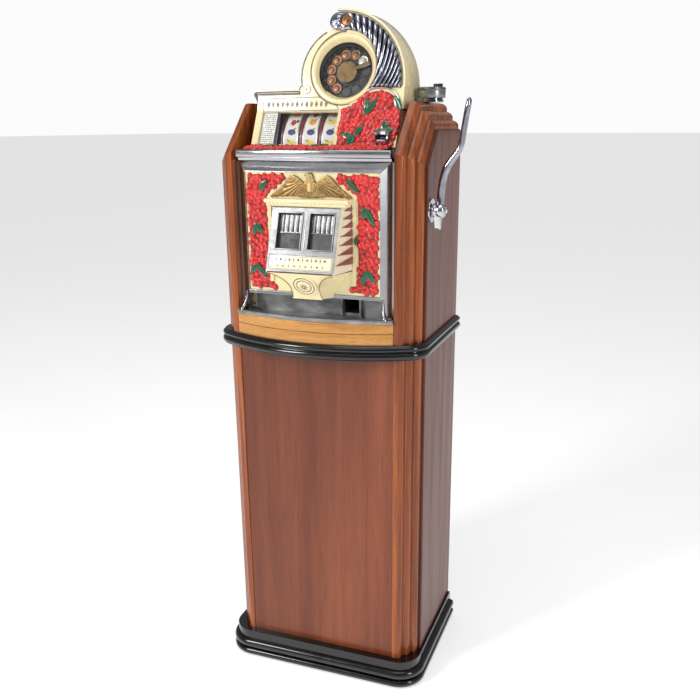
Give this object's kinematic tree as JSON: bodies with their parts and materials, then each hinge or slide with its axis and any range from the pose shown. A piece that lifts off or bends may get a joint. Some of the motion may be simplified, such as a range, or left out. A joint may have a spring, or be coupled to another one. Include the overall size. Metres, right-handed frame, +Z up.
{
  "type": "mechanical slot machine on stand",
  "caption": "Mechanical three-reel slot machine with fruit relief front, coin dial crest and side pull handle, in a fluted wood case on a matching pedestal.",
  "frame": {"origin": "centre of the floor face of the plinth, midway between the cabinet's sides", "axes": "+Z up, the front faces -Y, the pull handle is on +X"},
  "size_m": [0.554, 0.3914, 1.4779],
  "materials": {
    "gloss_black": "gloss black lacquer",
    "mahogany": "satin varnished mahogany",
    "mahogany_reed": "satin varnished mahogany, orange brown",
    "maple": "satin varnished maple",
    "polished_aluminium": "buffed cast aluminium",
    "cream_enamel": "gloss enamel on a casting",
    "red_enamel": "gloss enamel on a casting",
    "gold_bronze": "bronzed relief",
    "black_steel": "satin black",
    "chrome": "polished chrome plate",
    "glass": "clear",
    "steel": "bright steel",
    "reel_strip": "printed strip",
    "brass": "worn brass"
  },
  "bodies": {
    "cabinet": {"plinth": "gloss_black", "stand_front_panel": "mahogany", "stand_corner_left": "mahogany_reed", "stand_corner_right": "mahogany_reed", "stand_side_left": "mahogany", "stand_side_right": "mahogany", "stand_back_frame": "mahogany", "hinge_pins": "brass", "belt_moulding": "gloss_black", "case_floor": "mahogany", "front_board_lower": "maple", "front_board_upper": "maple", "side_inner_left": "mahogany_reed", "side_middle_left": "mahogany_reed", "side_outer_left": "mahogany_reed", "side_panel_left": "mahogany_reed", "side_inner_right": "mahogany_reed", "side_middle_right": "mahogany_reed", "side_outer_right": "mahogany_reed", "side_panel_right": "mahogany_reed", "case_top": "mahogany", "case_back_frame": "mahogany", "payout_tray": "polished_aluminium", "front_frame": "polished_aluminium", "cream_panel": "cream_enamel", "cherry_relief": "red_enamel", "eagle_relief": "gold_bronze", "jackpot_housing": "cream_enamel", "jackpot_bezel": "polished_aluminium", "jackpot_combs": "black_steel", "apron_shield": "cream_enamel", "ledge_bar": "polished_aluminium", "upper_casting": "cream_enamel", "cherries_upper": "red_enamel", "coin_return_cup": "chrome", "window_panes": "glass", "reel_shaft": "steel", "mech_frame": "steel", "cash_box": "steel", "crest_housing": "cream_enamel", "crest_back_plate": "gloss_black", "dial_bezel": "cream_enamel", "dial_glass": "glass", "dial_hub": "brass", "horn": "chrome", "coin_head": "polished_aluminium", "handle_bushing": "chrome"},
    "handle": {"pull_handle": "chrome"},
    "slides": {"payout_slides": "brass"},
    "reel_left": {"reel_1": "reel_strip"},
    "reel_middle": {"reel_2": "reel_strip"},
    "reel_right": {"reel_3": "reel_strip"},
    "dial_wheel": {"escalator_wheel": "black_steel"},
    "stand_door": {"stand_door": "mahogany", "stand_door_leaf": "brass"},
    "stand_lock": {"stand_lock": "steel"},
    "case_door": {"case_door": "mahogany", "case_door_leaf": "brass"},
    "case_lock": {"case_lock": "steel"},
    "coin_return": {"coin_return_lever": "black_steel"}
  },
  "joints": [
    {"name": "handle_pull", "type": "hinge", "parent": "cabinet", "child": "handle", "pos_m": [0.25, -0.079, 1.084], "axis": [1, 0, 0], "range_deg": [0, 60], "stiffness_Nm_per_rad": 3, "springref_deg": -14.32},
    {"name": "slides_travel", "type": "slide", "parent": "cabinet", "child": "slides", "axis": [0, 1, 0], "range_m": [0, 0.044]},
    {"name": "reel_left_spin", "type": "hinge", "parent": "cabinet", "child": "reel_left", "pos_m": [-0.076, -0.01, 1.206], "axis": [1, 0, 0], "continuous": true},
    {"name": "reel_middle_spin", "type": "hinge", "parent": "cabinet", "child": "reel_middle", "pos_m": [-0.0325, -0.01, 1.206], "axis": [1, 0, 0], "continuous": true},
    {"name": "reel_right_spin", "type": "hinge", "parent": "cabinet", "child": "reel_right", "pos_m": [0.011, -0.01, 1.206], "axis": [1, 0, 0], "continuous": true},
    {"name": "dial_turn", "type": "hinge", "parent": "cabinet", "child": "dial_wheel", "pos_m": [0.033, -0.04694, 1.35854], "axis": [0, -0.9578, 0.2873], "continuous": true},
    {"name": "stand_door_swing", "type": "hinge", "parent": "cabinet", "child": "stand_door", "pos_m": [-0.1705, 0.1624, 0.42], "axis": [0, 0, 1], "range_deg": [0, 110]},
    {"name": "stand_lock_turn", "type": "hinge", "parent": "stand_door", "child": "stand_lock", "pos_m": [0.14, 0.158, 0.3925], "axis": [0, 1, 0], "range_deg": [0, 90]},
    {"name": "case_door_swing", "type": "hinge", "parent": "cabinet", "child": "case_door", "pos_m": [-0.1625, 0.1624, 1.055], "axis": [0, 0, 1], "range_deg": [0, 110]},
    {"name": "case_lock_turn", "type": "hinge", "parent": "case_door", "child": "case_lock", "pos_m": [0.132, 0.158, 1.055], "axis": [0, 1, 0], "range_deg": [0, 90]},
    {"name": "coin_return_turn", "type": "hinge", "parent": "cabinet", "child": "coin_return", "pos_m": [0.213, 0.006, 1.32], "axis": [0, 0, 1], "range_deg": [0, 30], "stiffness_Nm_per_rad": 0.02, "springref_deg": -11.46}
  ],
  "couplings": [
    {"joint": "slides_travel", "follows": "handle_pull", "m_per_rad": 0.04}
  ]
}
